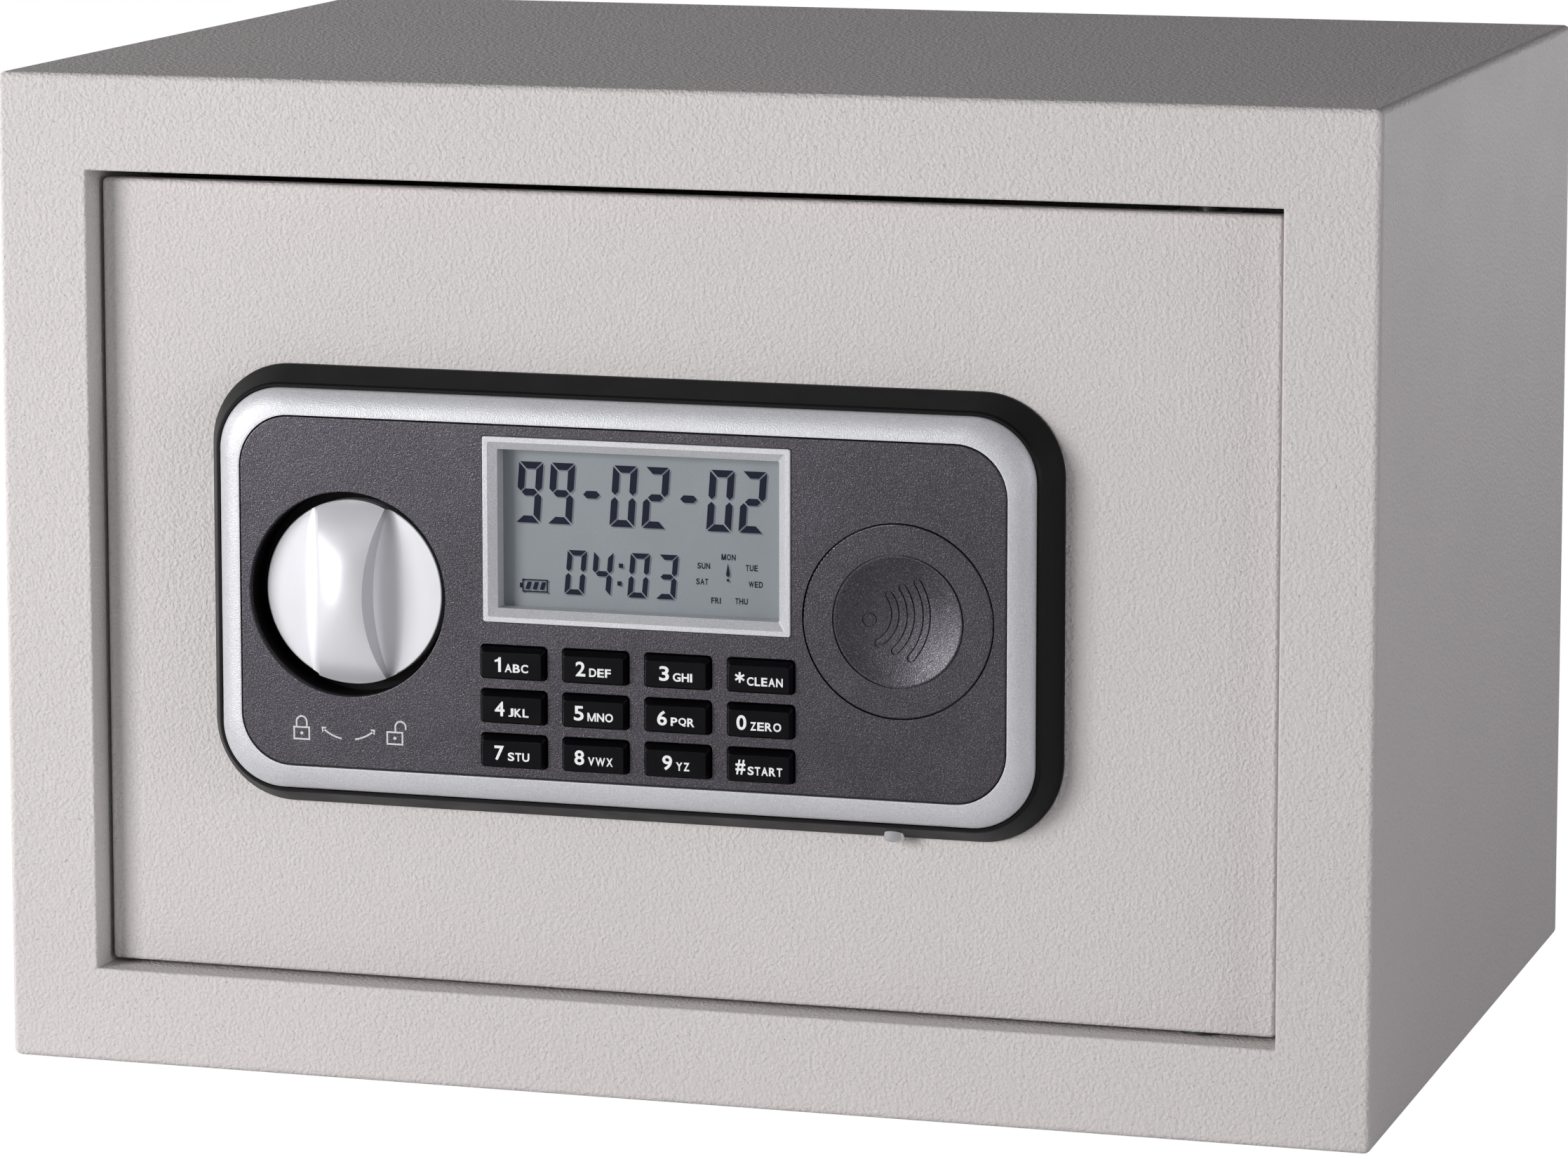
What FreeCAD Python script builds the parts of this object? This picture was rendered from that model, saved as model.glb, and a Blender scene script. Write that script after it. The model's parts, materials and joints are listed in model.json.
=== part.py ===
"""In-room safe: steel cabinet, hinged door, electronic lock unit and bolt work.

Millimetres. X runs to the right, Y into the safe and Z up. Pieces are laid out with
the front face at Y = 0 and are moved on export, so that the origin is the centre of
the underside. The door is shut, the bolts are drawn back and no key is pressed.
"""
import os
from math import cos, pi, radians, sin, sqrt

import FreeCAD
import Part
from FreeCAD import Vector

os.makedirs("parts", exist_ok=True)

# Cabinet
cabinet_w = 350.0
cabinet_h = 250.0
cabinet_d = 250.0
sheet_t = 2.0            # folded wrap and back
frame_t = 3.0            # front frame plate
border_side = 23.5       # frame width beside the door
border_top = 24.0        # frame width above and below the door
edge_r = 2.0             # folded outer edges
anchor_d = 11.0          # anchor bolt holes
anchor_pitch = 210.0
mat_t = 3.0              # floor mat

# Door
door_recess = 8.0        # frame face to door face
door_t = 4.0
gap_lock = 1.0           # door to jamb at the lock side
gap_hinge = 1.8
gap_bottom = 1.0
gap_top = 2.5
hinge_inset = 19.2       # hinge line to the door's hinge edge
hinge_pin_d = 6.0
hinge_play = 0.05        # radial
lug_w = 16.0
lug_h = 20.0
lug_d = 12.0

# Lock unit on the door
panel_w = 218.6
panel_h = 110.1
panel_inset = 29.2       # door's lock edge to the unit's base
ring_w = 208.6
ring_h = 100.2
ring_band = 6.2
face_t = 2.0
face_proud = 12.2        # door face to face plate
line_gap = 0.3           # shadow line round the face plate and the ring

# Knob
knob_d = 46.0
well_d = knob_d + 5.2
knob_rim_depth = 5.0     # face plate to the flat of the knob
grip_h = 9.5             # flat of the knob to the edge of the grip
spindle_d = 8.0
turn_play = 0.05         # radial

# Display
display_w = 78.5
display_h = 45.9
display_band = 3.3       # frame width, of which the outer part is flat
display_flat = 1.2
display_depth = 6.0

# Keys
key_hole_w = 17.1
key_hole_h = 8.4
key_gap = 0.3
key_proud = 2.0
key_travel = 1.2
key_pitch_x = 21.07
key_pitch_z = 11.0
key_names = (
    ("1", "2", "3", "clean"),
    ("4", "5", "6", "0"),
    ("7", "8", "9", "start"),
)

# Card reader badge
badge_d = 47.4
dish_d = 32.0
sign_depth = 0.4         # outline of the contactless sign, cut into the dish
sign_line = 0.4

# Bolt work
bolt_d = 18.0
bolt_offset = 45.0       # knob centre to each bolt, along Z
bolt_play = 0.06         # radial
bolt_len = 54.0
crank_r = 12.0
crank_pin_d = 6.0
carriage_t = 3.0
stud_d = 8.0
plunger_d = 5.0

# Batteries (AA)
cell_d = 14.2
cell_len = 49.2
cell_pitch = cell_d + 1.3
cell_count = 4

# Levels along Y
door_front = door_recess
door_back = door_front + door_t
face_front = door_front - face_proud
face_back = face_front + face_t
base_front = door_front - 2.0
bolt_y = door_back + 1.0 + bolt_d / 2
carriage_y = bolt_y + 4.0
carriage_back = carriage_y + carriage_t
jamb_depth = bolt_y + bolt_d / 2 + 11.0
cover_inner = carriage_back + cell_d + 2.6
cover_outer = cover_inner + 1.2

# Sizes within the lock unit
lip_front = face_front + 3.7
lip_w = ring_w + 2 * line_gap + 1.1
lip_h = ring_h + 2 * line_gap + 1.1
inner_w = ring_w - 2 * ring_band
inner_h = ring_h - 2 * ring_band
face_w = inner_w - 2 * line_gap
face_h = inner_h - 2 * line_gap
board_front = base_front - 1.5
bezel_screw_d = 5.3
bezel_screw_y = door_front - 2.8

# Door opening and door edges
open_x0 = -cabinet_w / 2 + border_side
open_x1 = cabinet_w / 2 - border_side
open_z0 = border_top
open_z1 = cabinet_h - border_top
door_x0 = open_x0 + gap_lock
door_x1 = open_x1 - gap_hinge
door_z0 = open_z0 + gap_bottom
door_z1 = open_z1 - gap_top
jamb_t = 2.5

# Hinge line
hinge_x = door_x1 - hinge_inset
hinge_y = door_front + 8.0

# Centres on the lock unit
panel_x = door_x0 + panel_inset + panel_w / 2
panel_z = cabinet_h / 2 - 1.2
knob_x = panel_x - 69.9
knob_z = panel_z - 0.2
display_x = panel_x + 4.9
display_z = panel_z + 17.9
keys_x = panel_x + 5.05
keys_z = panel_z - 25.9
badge_x = panel_x + 70.95
badge_z = panel_z + 0.1
bezel_screw_x = panel_x + 67.65
bezel_screw_z = panel_z - panel_h / 2 + 0.9

# Crank pin at rest and carriage stroke
crank_start = radians(45)
crank_pin_x = knob_x + crank_r * cos(crank_start)
crank_pin_z = knob_z + crank_r * sin(crank_start)
stroke = 2 * crank_r * cos(crank_start)


def box(x0, x1, y0, y1, z0, z1):
    return Part.makeBox(x1 - x0, y1 - y0, z1 - z0, Vector(x0, y0, z0))


def rod_y(x, z, d, y0, y1):
    return Part.makeCylinder(d / 2, y1 - y0, Vector(x, y0, z), Vector(0, 1, 0))


def rod_z(x, y, d, z0, z1):
    return Part.makeCylinder(d / 2, z1 - z0, Vector(x, y, z0), Vector(0, 0, 1))


def rod_x(y, z, d, x0, x1):
    return Part.makeCylinder(d / 2, x1 - x0, Vector(x0, y, z), Vector(1, 0, 0))


def rounded_wire(cx, cz, w, h, r, y):
    """Rectangle with round corners in the plane Y = y."""
    a, b = w / 2 - r, h / 2 - r
    k = r * sqrt(0.5)
    centres = ((a, b), (-a, b), (-a, -b), (a, -b))
    starts = ((r, 0), (0, r), (-r, 0), (0, -r))
    mids = ((k, k), (-k, k), (-k, -k), (k, -k))
    ends = ((0, r), (-r, 0), (0, -r), (r, 0))
    arcs = []
    for c, s, m, e in zip(centres, starts, mids, ends):
        pts = [Vector(cx + c[0] + q[0], y, cz + c[1] + q[1]) for q in (s, m, e)]
        arcs.append(pts)
    edges = []
    for n, pts in enumerate(arcs):
        edges.append(Part.Arc(*pts).toShape())
        edges.append(Part.makeLine(pts[2], arcs[(n + 1) % 4][0]))
    return Part.Wire(edges)


def rounded_plate(cx, cz, w, h, r, y0, y1):
    face = Part.Face(rounded_wire(cx, cz, w, h, r, y0))
    return face.extrude(Vector(0, y1 - y0, 0))


def rounded_loft(cx, cz, sections, ruled=False):
    """Solid through rounded rectangles, each given as (w, h, r, y)."""
    wires = [rounded_wire(cx, cz, w, h, r, y) for w, h, r, y in sections]
    return Part.makeLoft(wires, True, ruled)


def front_edges(shape, y, inside=None):
    """Edges that lie in the plane Y = y, within an optional (x0, x1, z0, z1)."""
    found = []
    for e in shape.Edges:
        b = e.BoundBox
        if abs(b.YMin - y) > 1e-4 or abs(b.YMax - y) > 1e-4:
            continue
        if inside:
            x0, x1, z0, z1 = inside
            if b.XMin < x0 or b.XMax > x1 or b.ZMin < z0 or b.ZMax > z1:
                continue
        found.append(e)
    return found


def slot_x(x0, x1, z, w, y0, y1):
    """Straight slot along X with round ends centred on x0 and x1."""
    body = box(x0, x1, y0, y1, z - w / 2, z + w / 2)
    return body.fuse([rod_y(x0, z, w, y0, y1), rod_y(x1, z, w, y0, y1)])


def slot_z(x, z0, z1, w, y0, y1):
    """Straight slot along Z with round ends centred on z0 and z1."""
    body = box(x - w / 2, x + w / 2, y0, y1, z0, z1)
    return body.fuse([rod_y(x, z0, w, y0, y1), rod_y(x, z1, w, y0, y1)])


def pan_screw(x, z, d, y0, y1, head_y, toward):
    """Cross-head screw along Y; the head rises from head_y in direction toward."""
    head_r = d * 0.95
    head_h = d * 0.6
    shank = rod_y(x, z, d, y0, y1)
    base = Vector(x, head_y, z)
    head = Part.makeCylinder(head_r, head_h, base, Vector(0, toward, 0))
    tip = head_y + toward * head_h
    rim = [e for e in head.Edges if abs(e.BoundBox.YMin - tip) < 1e-6
           and abs(e.BoundBox.YMax - tip) < 1e-6]
    head = head.makeFillet(head_h * 0.45, rim)
    deep = tip - toward * head_h * 0.55
    y_lo, y_hi = sorted((deep, tip + toward))
    arm, half = head_r * 0.55, d * 0.09
    cross = box(x - arm, x + arm, y_lo, y_hi, z - half, z + half)
    cross = cross.fuse(box(x - half, x + half, y_lo, y_hi, z - arm, z + arm))
    return shank.fuse(head).cut(cross).removeSplitter()


def save(name, shapes):
    """Write one piece, moved so that the origin is the centre of the underside."""
    if not isinstance(shapes, list):
        shapes = [shapes]
    solids = [s for shape in shapes for s in shape.Solids]
    for s in solids:
        s.translate(Vector(0, -cabinet_d / 2, 0))
    piece = solids[0] if len(solids) == 1 else Part.makeCompound(solids)
    piece.exportStep(os.path.join("parts", name + ".step"))


def make_cabinet():
    mid_z = cabinet_h / 2
    back_y = cabinet_d - sheet_t

    shell = rounded_plate(0, mid_z, cabinet_w, cabinet_h, edge_r, frame_t, back_y)
    shell = shell.cut(rounded_plate(0, mid_z, cabinet_w - 2 * sheet_t,
                                    cabinet_h - 2 * sheet_t, 0.5, frame_t - 1, back_y + 1))
    for side in (-1, 1):
        x = side * anchor_pitch / 2
        shell = shell.cut(rod_z(x, cabinet_d / 2, anchor_d, -1, sheet_t + 1))
    save("cabinet_shell", shell)

    back = rounded_plate(0, mid_z, cabinet_w, cabinet_h, edge_r, back_y, cabinet_d)
    back = back.makeFillet(1.0, front_edges(back, cabinet_d))
    for side in (-1, 1):
        x = side * anchor_pitch / 2
        back = back.cut(rod_y(x, mid_z, anchor_d, back_y - 1, cabinet_d + 1))
    save("back_panel", back)

    frame = rounded_plate(0, mid_z, cabinet_w, cabinet_h, edge_r, 0, frame_t)
    frame = frame.makeFillet(1.7, front_edges(frame, 0))
    opening = box(open_x0, open_x1, -1, frame_t + 1, open_z0, open_z1)
    frame = frame.cut(opening)
    inner = front_edges(frame, 0, (open_x0 - 1, open_x1 + 1, open_z0 - 1, open_z1 + 1))
    frame = frame.makeFillet(0.7, inner)
    save("front_frame", frame)

    jamb = box(open_x0 - jamb_t, open_x1 + jamb_t, frame_t, jamb_depth,
               open_z0 - jamb_t, open_z1 + jamb_t)
    jamb = jamb.cut(box(open_x0, open_x1, frame_t - 1, jamb_depth + 1, open_z0, open_z1))
    for side in (-1, 1):
        z = knob_z + side * bolt_offset
        jamb = jamb.cut(rod_x(bolt_y, z, bolt_d + 1.6, open_x0 - jamb_t - 1, open_x0 + 1))
    jamb = jamb.cut(rod_z(hinge_x, hinge_y, hinge_pin_d, 0, cabinet_h))
    save("door_jamb", jamb)

    mat = box(-cabinet_w / 2 + sheet_t + 1, cabinet_w / 2 - sheet_t - 1,
              jamb_depth + 3, back_y - 1, sheet_t, sheet_t + mat_t)
    for side in (-1, 1):
        x = side * anchor_pitch / 2
        mat = mat.cut(rod_z(x, cabinet_d / 2, anchor_d + 6, 0, sheet_t + mat_t + 1))
    save("floor_mat", mat)


def make_hinges():
    lower = rod_z(hinge_x, hinge_y, hinge_pin_d, open_z0 - jamb_t, door_z0 + 16)
    upper = rod_z(hinge_x, hinge_y, hinge_pin_d, door_z1 - 16, open_z1 + jamb_t)
    tip_edges = [e for e in lower.Edges if e.BoundBox.ZMin > door_z0 + 15.9]
    lower = lower.makeFillet(0.8, tip_edges)
    tip_edges = [e for e in upper.Edges if e.BoundBox.ZMax < door_z1 - 15.9]
    upper = upper.makeFillet(0.8, tip_edges)
    save("hinge_pins", [lower, upper])

    washer = rod_z(hinge_x, hinge_y, 12.4, open_z0, door_z0 - 0.05)
    washer = washer.cut(rod_z(hinge_x, hinge_y, hinge_pin_d, 0, door_z0 + 1))
    save("hinge_washer", washer)

    lugs = []
    for z0 in (door_z0, door_z1 - lug_h):
        lug = box(hinge_x - lug_w / 2, hinge_x + lug_w / 2,
                  door_back, door_back + lug_d, z0, z0 + lug_h)
        far = [e for e in lug.Edges if e.BoundBox.YMin > door_back + lug_d - 0.01
               and e.BoundBox.ZLength > lug_h - 0.01]
        lug = lug.makeFillet(3.0, far)
        bore_d = hinge_pin_d + 2 * hinge_play
        lugs.append(lug.cut(rod_z(hinge_x, hinge_y, bore_d, z0 - 1, z0 + lug_h + 1)))
    save("hinge_lugs", lugs)


def panel_screw_spots():
    return [(panel_x + dx, panel_z + dz) for dx in (-91, 90) for dz in (-35, 35)]


def cable_slot(y0, y1):
    return slot_x(panel_x + 34, panel_x + 50, panel_z + 8, 9, y0, y1)


def make_door():
    w, h = door_x1 - door_x0, door_z1 - door_z0
    plate = rounded_plate((door_x0 + door_x1) / 2, (door_z0 + door_z1) / 2,
                          w, h, 1.2, door_front, door_back)
    plate = plate.makeFillet(1.1, front_edges(plate, door_front))
    lo, hi = door_front - 1, door_back + 1
    plate = plate.cut(rod_y(knob_x, knob_z, spindle_d + 5, lo, hi))
    for x, z in panel_screw_spots():
        plate = plate.cut(rod_y(x, z, 4.4, lo, hi))
    plate = plate.cut(cable_slot(lo, hi))
    pin_room = rod_z(hinge_x, hinge_y, hinge_pin_d + 2.4, door_z0 - 1, door_z1 + 1)
    plate = plate.cut(pin_room)
    save("door_plate", plate)

    bushing = rod_y(knob_x, knob_z, spindle_d + 5, door_front, door_back)
    bushing = bushing.fuse(rod_y(knob_x, knob_z, spindle_d + 9, door_back, door_back + 1.5))
    bore = rod_y(knob_x, knob_z, spindle_d + 2 * turn_play, door_front - 1, door_back + 3)
    save("spindle_bushing", bushing.cut(bore).removeSplitter())


def make_bezel():
    bezel = rounded_loft(panel_x, panel_z, (
        (panel_w, panel_h, 20.5, door_front),
        (panel_w - 0.2, panel_h - 0.2, 20.4, door_front - 0.9),
        (lip_w + 0.9, lip_h + 0.9, 17.4, lip_front + 0.5),
        (lip_w, lip_h, 17.0, lip_front),
    ), ruled=True)
    rebate = rounded_plate(panel_x, panel_z, ring_w + 2 * line_gap, ring_h + 2 * line_gap,
                           16.3, lip_front - 1, lip_front + 1.5)
    bezel = bezel.cut(rebate)
    bezel = bezel.fuse(rounded_plate(panel_x, panel_z, face_w, face_h, 12.9,
                                     face_back, lip_front + 2))
    bezel = bezel.cut(rounded_plate(panel_x, panel_z, face_w - 5, face_h - 5, 10.4,
                                    face_back - 1, base_front))
    well = rod_y(knob_x, knob_z, well_d + 2.8, face_back, base_front)
    well = well.cut(rod_y(knob_x, knob_z, well_d, face_back - 1, base_front + 1))
    bosses = [rod_y(x, z, 9, face_back, base_front) for x, z in panel_screw_spots()]
    inside = rounded_plate(panel_x, panel_z, face_w - 4.9, face_h - 4.9, 10.4,
                           face_back, base_front)
    bezel = bezel.fuse([well] + [b.common(inside) for b in bosses])
    bezel = bezel.cut(rod_y(knob_x, knob_z, spindle_d + 1, base_front - 1, door_front + 1))
    bezel = bezel.cut(rod_y(knob_x, knob_z, well_d, face_back - 1, base_front))
    for x, z in panel_screw_spots():
        bezel = bezel.cut(rod_y(x, z, 4.0, face_back + 2, door_front + 1))
    bezel = bezel.cut(cable_slot(base_front - 1, door_front + 1))
    x, y, z = bezel_screw_x, bezel_screw_y, bezel_screw_z
    bezel = bezel.cut(rod_z(x, y, bezel_screw_d, z - 4, z + 2.2))
    bezel = bezel.cut(rod_z(x, y, 3.0, z, z + 8))
    save("panel_bezel", bezel.removeSplitter())


def make_ring():
    ring = rounded_loft(panel_x, panel_z, (
        (ring_w, ring_h, 16.0, lip_front),
        (ring_w - 1.2, ring_h - 1.2, 15.7, lip_front - 1.3),
        (ring_w - 3.6, ring_h - 3.6, 15.1, lip_front - 2.4),
        (ring_w - 7.4, ring_h - 7.4, 14.3, lip_front - 3.3),
        (inner_w + 0.7, inner_h + 0.7, 13.4, lip_front - 3.7),
    ), ruled=False)
    ring = ring.fuse(rounded_plate(panel_x, panel_z, ring_w, ring_h, 16.0,
                                   lip_front, lip_front + 1.5))
    ring = ring.cut(rounded_plate(panel_x, panel_z, inner_w, inner_h, 13.2,
                                  face_front - 2, lip_front + 3))
    save("silver_ring", ring.removeSplitter())


def make_face():
    face = rounded_plate(panel_x, panel_z, face_w, face_h, 12.9, face_front, face_back)
    face = face.makeFillet(0.35, front_edges(face, face_front))
    lo, hi = face_front - 1, face_back + 1
    holes = [rod_y(knob_x, knob_z, well_d, lo, hi)]
    holes.append(rod_y(badge_x, badge_z, badge_d + 2 * line_gap, lo, hi))
    holes.append(rounded_plate(display_x, display_z, display_w + 0.4, display_h + 0.4,
                               0.7, lo, hi))
    for x, z, name in key_spots():
        holes.append(rounded_plate(x, z, key_hole_w, key_hole_h, 1.0, lo, hi))
    face = face.cut(holes)
    reach = well_d / 2 + 0.1
    rims = front_edges(face, face_front, (knob_x - reach, knob_x + reach,
                                          knob_z - reach, knob_z + reach))
    for x, z, name in key_spots():
        rims += front_edges(face, face_front, (x - key_hole_w / 2 - 0.1,
                                               x + key_hole_w / 2 + 0.1,
                                               z - key_hole_h / 2 - 0.1,
                                               z + key_hole_h / 2 + 0.1))
    face = face.makeFillet(0.2, rims)
    save("face_plate", face)


def make_display():
    frame = rounded_plate(display_x, display_z, display_w, display_h, 0.6,
                          face_front - 0.5, face_front + display_depth - 0.3)
    frame = frame.makeFillet(0.25, front_edges(frame, face_front - 0.5))
    window_w = display_w - 2 * display_band
    window_h = display_h - 2 * display_band
    slope = rounded_loft(display_x, display_z, (
        (display_w - 2 * display_flat, display_h - 2 * display_flat, 0.5, face_front - 0.6),
        (window_w, window_h, 0.4, face_front + 1.3),
    ), ruled=True)
    tube = rounded_plate(display_x, display_z, window_w, window_h, 0.4,
                         face_front, face_front + 9)
    save("display_frame", frame.cut(slope).cut(tube))

    lcd_front = face_front + display_depth - 0.3
    lcd = box(display_x - display_w / 2 + 0.5, display_x + display_w / 2 - 0.5,
              lcd_front, board_front, display_z - display_h / 2 + 0.3,
              display_z + display_h / 2 - 0.4)
    save("lcd_module", lcd)


def make_boards():
    board = box(panel_x - 40, panel_x + 84, board_front, base_front,
                panel_z - 40.4, panel_z + 40.6)
    notches = [rod_y(x, z, 10, board_front - 1, base_front + 1)
               for x, z in panel_screw_spots()]
    board = board.cut(notches).cut(cable_slot(board_front - 1, base_front + 1))
    save("circuit_board", board)

    sheet = box(keys_x - 2 * key_pitch_x + 0.6, keys_x + 2 * key_pitch_x - 0.6,
                board_front - 1, board_front, panel_z - 40.4, keys_z + 1.5 * key_pitch_z)
    domes = []
    dome_front = face_back + 4.5
    for x, z, name in key_spots():
        dome = Part.makeCone(3.4, 2.2, board_front - 1 - dome_front,
                             Vector(x, board_front - 1, z), Vector(0, -1, 0))
        domes.append(dome)
    save("keypad_mat", sheet.fuse(domes).removeSplitter())


def key_spots():
    spots = []
    for row, names in enumerate(key_names):
        for col, name in enumerate(names):
            x = keys_x + (col - 1.5) * key_pitch_x
            z = keys_z + (1 - row) * key_pitch_z
            spots.append((x, z, name))
    return spots


def make_keys():
    w, h = key_hole_w - 2 * key_gap, key_hole_h - 2 * key_gap
    tip = face_front - key_proud
    shoulder = face_front - 0.7
    for x, z, name in key_spots():
        key = rounded_plate(x, z, w, h, 0.8, shoulder, face_back + 0.2)
        wires = [rounded_wire(x, z, w, h, 0.8, shoulder),
                 rounded_wire(x, z - 0.5, w - 1.3, h - 1.4, 0.5, tip)]
        crown = Part.makeLoft(wires, True, True)
        key = key.fuse(crown).removeSplitter()
        key = key.makeFillet(0.18, front_edges(key, tip))
        key = key.fuse(box(x - w / 2 - 1.4, x + w / 2 + 1.4, face_back + 0.2, face_back + 1.2,
                           z - h / 2, z + h / 2))
        key = key.fuse(rod_y(x, z, 5, face_back + 1.2, face_back + 3.2))
        save("key_" + name, key.removeSplitter())


def arc_band(cx, cz, r, half, a0, a1, y0, y1):
    """Curved band with round ends, from angle a0 to a1 in degrees, about (cx, cz)."""
    a0, a1 = radians(a0), radians(a1)
    am = (a0 + a1) / 2

    def at(a, rad, along=0.0):
        return Vector(cx + rad * cos(a) - along * sin(a), y0,
                      cz + rad * sin(a) + along * cos(a))

    edges = [
        Part.Arc(at(a0, r + half), at(am, r + half), at(a1, r + half)).toShape(),
        Part.Arc(at(a1, r + half), at(a1, r, half), at(a1, r - half)).toShape(),
        Part.Arc(at(a1, r - half), at(am, r - half), at(a0, r - half)).toShape(),
        Part.Arc(at(a0, r - half), at(a0, r, -half), at(a0, r + half)).toShape(),
    ]
    return Part.Face(Part.Wire(edges)).extrude(Vector(0, y1 - y0, 0))


def sign_shapes(inset):
    """Dot and three arcs of the contactless sign, drawn in by inset all round."""
    y0, y1 = face_front, face_back
    shapes = [rod_y(badge_x - 7.35, badge_z, 3.7 - 2 * inset, y0, y1)]
    for r, low, high in ((8.2, -60, 35), (12.1, -47, 33), (16.1, -40, 30)):
        shapes.append(arc_band(badge_x - 9.2, badge_z + 1.5, r, 1.1 - inset, low, high,
                               y0, y1))
    return shapes


def make_badge():
    badge = rod_y(badge_x, badge_z, badge_d, face_front, face_back + 1)
    badge = badge.makeFillet(0.3, front_edges(badge, face_front))
    badge = badge.fuse(rod_y(badge_x, badge_z, badge_d + 1.1, face_back, face_back + 1))
    groove = rod_y(badge_x, badge_z, dish_d + 0.9, face_front - 1, face_front + 0.6)
    groove = groove.cut(rod_y(badge_x, badge_z, dish_d, face_front - 2, face_front + 2))
    badge = badge.cut(groove)
    sink = 1.6
    ball_r = ((dish_d / 2 - 0.3) ** 2 + sink ** 2) / (2 * sink)
    ball = Part.makeSphere(ball_r, Vector(badge_x, face_front + sink - ball_r, badge_z))
    badge = badge.cut(ball)
    deeper = ball.copy()
    deeper.translate(Vector(0, sign_depth, 0))
    for outer, inner in zip(sign_shapes(0), sign_shapes(sign_line)):
        badge = badge.cut(outer.cut(inner).common(deeper))
    save("reader_disc", badge.removeSplitter())

    coil = rod_y(badge_x, badge_z, 44, face_back + 1, face_back + 2)
    coil = coil.cut(rod_y(badge_x, badge_z, 37, face_back, face_back + 3))
    save("antenna_coil", coil)


def knob_section(z):
    """Closed outline of the grip across the knob at height z from its centre."""
    reach = knob_d / 2 - 0.2
    t = min(abs(z) / reach, 1.0)
    edge_radius = (reach ** 2 + grip_h ** 2) / (2 * grip_h)
    rise = sqrt(max(edge_radius ** 2 - z * z, 0)) - (edge_radius - grip_h)
    rise = max(rise, 0.4)
    crown = rise + 1.3 * (1 - t * t) + 0.2
    half = 5.5 + 3.8 * t * t
    wall = half + 0.6
    crease = 0.32 * rise
    spread = 0.3 + 6.4 * (1 - t ** 2.4)
    foot = wall + spread
    scoop_r = (spread ** 2 + crease ** 2) / (2 * crease)
    sag = scoop_r - sqrt(scoop_r ** 2 - spread ** 2 / 4)
    left = [(-foot, 0), (-foot + spread / 2, sag), (-wall, crease), (-half, rise)]
    right = [(-a, h) for a, h in reversed(left)]

    def at(point):
        return Vector(knob_x + point[0], knob_rim - point[1], knob_z + z)

    edges = [
        Part.Arc(at(left[0]), at(left[1]), at(left[2])).toShape(),
        Part.makeLine(at(left[2]), at(left[3])),
        Part.Arc(at(left[3]), at((0, crown)), at(right[0])).toShape(),
        Part.makeLine(at(right[0]), at(right[1])),
        Part.Arc(at(right[1]), at(right[2]), at(right[3])).toShape(),
        Part.makeLine(at(right[3]), at((foot, -1.0))),
        Part.makeLine(at((foot, -1.0)), at((-foot, -1.0))),
        Part.makeLine(at((-foot, -1.0)), at(left[0])),
    ]
    return Part.Wire(edges)


def make_knob():
    back = door_front - 3.0
    disc = rod_y(knob_x, knob_z, knob_d, knob_rim, back)
    disc = disc.makeFillet(0.4, front_edges(disc, knob_rim))
    span = knob_d / 2 + 0.1
    stations = [span * s for s in (-1, -0.9, -0.75, -0.55, -0.3, 0, 0.3, 0.55, 0.75, 0.9, 1)]
    grip = Part.makeLoft([knob_section(z) for z in stations], True, False)
    trim = rod_y(knob_x, knob_z, knob_d - 0.1, knob_rim - 14, back)
    knob = disc.fuse(grip.common(trim)).removeSplitter()
    knob = knob.cut(rod_y(knob_x, knob_z, spindle_d, knob_rim - 2.5, back + 1))
    save("knob", knob)

    cam_front = carriage_y - 11.0
    cam_back = carriage_y - 7.0
    spindle = rod_y(knob_x, knob_z, spindle_d, knob_rim - 2.5, cam_back)
    spindle = spindle.fuse(rod_y(knob_x, knob_z, spindle_d - 2, cam_back, cam_back + 4.5))
    save("knob_spindle", spindle.removeSplitter())

    cam = rod_y(knob_x, knob_z, 2 * crank_r + 10, cam_front, cam_back)
    cam = cam.cut(rod_y(knob_x, knob_z, spindle_d, cam_front - 1, cam_back + 1))
    cam = cam.fuse(rod_y(crank_pin_x, crank_pin_z, crank_pin_d, cam_back, carriage_back + 2))
    save("cam_disc", cam.removeSplitter())

    points = [Vector(knob_x + 5.8 * cos(n * pi / 3), cam_back, knob_z + 5.8 * sin(n * pi / 3))
              for n in range(7)]
    nut = Part.Face(Part.makePolygon(points)).extrude(Vector(0, 4, 0))
    nut = nut.cut(rod_y(knob_x, knob_z, spindle_d - 2, cam_back - 1, cam_back + 5))
    save("cam_nut", nut)


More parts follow.
